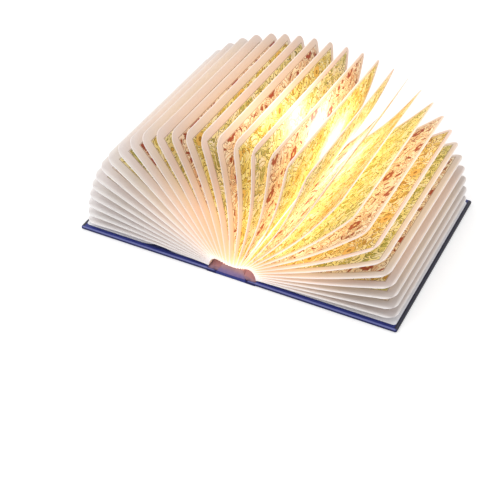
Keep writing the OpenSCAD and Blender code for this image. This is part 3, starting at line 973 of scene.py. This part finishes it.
def leaf_form(number, seat, foot_left, foot_right):
    """The two sheets of a leaf, and the place of each point on its flat paper."""
    reach = seat.reach - ROUND_TIP
    rows = leaf_rows(reach)
    into_corner = np.clip(rows - (reach - CORNER), 0, CORNER)
    half = leaf_half_y - CORNER + np.sqrt(CORNER ** 2 - into_corner ** 2)
    half = half - FOOT_TAPER * np.exp(-rows / 6)
    columns = np.sin(np.linspace(-1, 1, 37) * CROWDED_ENDS) / math.sin(CROWDED_ENDS)
    rho = np.repeat(rows[:, None], len(columns), 1)
    y = half[:, None] * columns[None, :]

    # Half the distance between the sheets, the sway of both, and the foot's spread
    from_rim = np.minimum(reach - rho, half[:, None] - abs(y))
    open_up = np.clip(from_rim / 26, 0, 1)
    smooth = (3 * open_up ** 2 - 2 * open_up ** 3) * np.clip(rho / 30, 0, 1)
    half_t = RIM_HALF_T + BELLY * smooth
    share, far = rho / reach, (y / leaf_half_y + 1) / 2
    tip_sway = near_sways[number] * (1 - far) + far_sways[number] * far
    sway = tip_sway * share ** 2 + bows[number] * np.sin(math.pi * share)
    spread = np.clip(1 - rho / FOOT_RISE, 0, 1) ** 2
    sheets = []
    for direction, foot in ((1, foot_right), (-1, foot_left)):
        off = sway + direction * (half_t + (foot - 0.2) * spread)
        flat = seat.fold + rho[..., None] * seat.along + off[..., None] * seat.aside
        sheets.append(np.stack([flat[..., 0], y, flat[..., 1]], -1))
    return sheets, np.stack([y, rho], -1).reshape(-1, 2)


spread_place = np.linspace(-1, 1, leaf_count)
tones = 0.14 + 0.86 * np.exp(-((spread_place - 0.14) / 0.72) ** 4)
half_gaps = [float(np.linalg.norm(b.fold - a.fold)) / 2 for a, b in zip(seats, seats[1:])]
print("glow of the leaves from", tones.min().round(2), "to", tones.max().round(2))


# %% One leaf
def leaf_piece(number, name, seat, foot_left, foot_right):
    """A leaf with its place on the flat paper and its share of light in two UV layers, hung on its leaf's body."""
    sheets, sheet_uv = leaf_form(number, seat, foot_left, foot_right)
    points, faces = sheet(*sheets)
    piece = mesh_piece(f"envelope_{number + 1:02d}", points, faces, leaf_paper, 40)
    mesh = piece.data
    loops = np.empty(len(mesh.loops), int)
    mesh.loops.foreach_get("vertex_index", loops)
    sheet_uv = np.tile(sheet_uv, (2, 1)) * MM
    tone_uv = np.tile((tones[number], number), (len(sheet_uv), 1))
    for layer, values in (("sheet", sheet_uv), ("tone", tone_uv)):
        uv = mesh.uv_layers.new(name=layer)
        uv.data.foreach_set("uv", values[loops].astype(np.float32).ravel())
    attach(piece, f"{name}_body")
    seat.fold[0] * MM
    seat.fold[1] * MM
    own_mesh(piece)
    return piece


print("a leaf sways", min(bows).round(1), "to", max(bows).round(1), "mm in its middle")

# %% All the leaves
OUTER_FOOT = 0.6
middle, last = leaf_count // 2, leaf_count - 1
liner_of = {leaf_names[middle - 1]: "front_pleat_liner", leaf_names[middle]: "back_pleat_liner"}
for number, (name, seat) in enumerate(zip(leaf_names, seats)):
    foot_left = half_gaps[number - 1] if number else OUTER_FOOT
    foot_right = half_gaps[number] if number < last else OUTER_FOOT
    # When the left half closes alone, its last leaf comes close to the first one of the
    # right half, so the two feet between them meet near that leaf
    if number == middle:
        foot_left *= 0.45
    elif number == middle - 1:
        foot_right *= 1.5
    # The outermost leaves have the covers against them and get a smaller pressed share
    pressed = 0.05 if number in (0, last) else 0.14
    envelope = leaf_piece(number, name, seat, foot_left, foot_right)
    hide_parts(name, *([liner_of[name]] if name in liner_of else []))
print("made", leaf_count, "leaves")

# %% [markdown]
# ## The sheets pasted to the covers
# The last half sheet on each side is glued flat to the inside of its cover.
# On the front cover the glue has let go for a finger's width at the near end,
# and the paper stands up there in a small arch.

# %% Pasted sheets
cover_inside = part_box("back_paste_strip")[0].z / MM
strip_mid = (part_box("back_paste_strip")[0].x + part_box("back_paste_strip")[1].x) / 2 / MM
PASTED_HALF_Y = leaf_half_y - 2.5
PASTED_END = CASE_HALF_X - 2.8
PASTED_CORNER = 2.5
PASTED_T = 0.42
ARCH, ARCH_REACH = 2.9, 9


def pasted_sheet(name, sign, arch):
    """A sheet inside a cover, lifted by arch at its near end."""
    corner = [PASTED_END - PASTED_CORNER * (1 - math.sin(math.radians(a))) for a in range(15, 91, 15)]
    x = np.concatenate([np.linspace(inner_x + 1.5, PASTED_END - PASTED_CORNER, 61), corner])
    into_corner = np.clip(x - (PASTED_END - PASTED_CORNER), 0, PASTED_CORNER)
    half = PASTED_HALF_Y - PASTED_CORNER + np.sqrt(PASTED_CORNER ** 2 - into_corner ** 2)
    y = half[:, None] * np.linspace(-1, 1, 49)[None, :]
    x = np.repeat(x[:, None], y.shape[1], 1)
    near_end = np.clip(-y / half[:, None] * 4 - 3, 0, 1)
    lift = arch * np.exp(-((x - strip_mid) / ARCH_REACH) ** 2) * near_end
    low = np.stack([x, y, cover_inside + 0.02 + lift], -1)
    return soft_sheet(name, [(low + (0, 0, PASTED_T), low)], white_paper, sign < 0)


white_paper = Finish("pasted_paper", Roughness=0.7)
x, y, z = places(white_paper)
white_paper.set("Base Color", white_paper.mix(
    (0.90, 0.90, 0.94), (0.96, 0.96, 0.99),
    noise(white_paper, joined(white_paper, x * 3, y), 1.6, 3.0).rise(0.3, 0.7)))
for side, sign in sides:
    pasted = pasted_sheet(f"{side}_pasted_sheet", sign, ARCH if sign < 0 else 0.0)
    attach(pasted, f"{side}_cover")
    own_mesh(pasted)
    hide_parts(f"{side}_paste_strip")
    print(pasted.name, "reaches", round(PASTED_END, 1), "mm")

# %% [markdown]
# ## The light bar and the small parts
# These keep their CAD shapes and take finer finishes: a fine-textured navy
# plastic, a milky lens that glows, and the metals, foil and boards inside.


# %% Finishes of the CAD parts
def plain(name, colour, roughness, size, depth, metallic=0.0, spread=0.12):
    """One colour that varies a little, with a fine texture."""
    made = Finish(name, Metallic=metallic)
    x, y, z = places(made)
    spot = joined(made, x, y, z)
    fine = noise(made, spot, size, 3.0)
    darker = tuple(c * (1 - spread) for c in colour)
    lighter = tuple(min(c * (1 + spread), 1) for c in colour)
    made.set("Base Color", made.mix(darker, lighter, fine.rise(0.3, 0.7)))
    made.set("Roughness", roughness + (fine - 0.5) * 0.15)
    made.bump(fine, depth * MM)
    return made


BAR_NAVY_TOP, BAR_PLUM_FROM = 3.5, 8.0
bar_plastic = plain("bar_plastic", (0.185, 0.120, 0.165), 0.5, 0.5, 0.03)
milky = plain("diffuser_milk", (0.98, 0.93, 0.82), 0.3, 8.0, 0.01, spread=0.02)
milky.shader.inputs["Emission Color"].default_value = (1.0, 0.86, 0.60, 1)
milky.shader.inputs["Emission Strength"].default_value = 2.5
diode = plain("diode_phosphor", (1.0, 0.80, 0.35), 0.4, 1.0, 0.01, spread=0.05)
diode.shader.inputs["Emission Color"].default_value = (1.0, 0.84, 0.52, 1)
diode.shader.inputs["Emission Strength"].default_value = 2
x, y, z = places(bar_plastic)
# The bar is navy below and plum above, where the light of the leaves falls on it
patches = noise(bar_plastic, joined(bar_plastic, x, y, z), 5.0).rise(0.3, 0.7)
navy_side = bar_plastic.mix((0.155, 0.115, 0.31), (0.22, 0.145, 0.30), patches)
plum_side = bar_plastic.mix((0.34, 0.19, 0.215), (0.42, 0.235, 0.245), patches)
bar_plastic.set("Base Color", bar_plastic.mix(navy_side, plum_side, z.rise(BAR_NAVY_TOP, BAR_PLUM_FROM)))
print("the bar turns plum above", BAR_NAVY_TOP, "mm")

# %% Every CAD part takes its finish
finishes = {
    "bar_plastic": bar_plastic, "diffuser": milky, "diode": diode,
    "grey_board": plain("grey_board", (0.40, 0.38, 0.34), 0.9, 1.2, 0.1),
    "endpaper": plain("endpaper", (0.030, 0.036, 0.145), 0.6, 0.8, 0.02),
    "white_paper": plain("white_paper", (0.90, 0.88, 0.84), 0.8, 0.9, 0.03, spread=0.04),
    "foam_tape": plain("foam_tape", (0.82, 0.81, 0.78), 0.9, 0.5, 0.05),
    "white_board": plain("white_board", (0.90, 0.90, 0.88), 0.35, 2.0, 0.01, spread=0.04),
    "cell_foil": plain("cell_foil", (0.68, 0.69, 0.71), 0.32, 3.0, 0.05, 1.0),
    "green_board": plain("green_board", (0.03, 0.20, 0.09), 0.35, 1.5, 0.02),
    "socket_steel": plain("socket_steel", (0.70, 0.71, 0.73), 0.28, 1.5, 0.01, 1.0),
    "magnet": plain("magnet", (0.74, 0.74, 0.76), 0.2, 2.0, 0.005, 1.0),
    "leaf_paper": leaf_paper, "leatherette": plain_leather, "hinge_lining": lining_leather,
}
for part in frame["record"]["subparts"]:
    node = nodes[part["node"]]
    node.data.materials.clear()
    node.data.materials.append(finishes[part["material_slot"]].material)
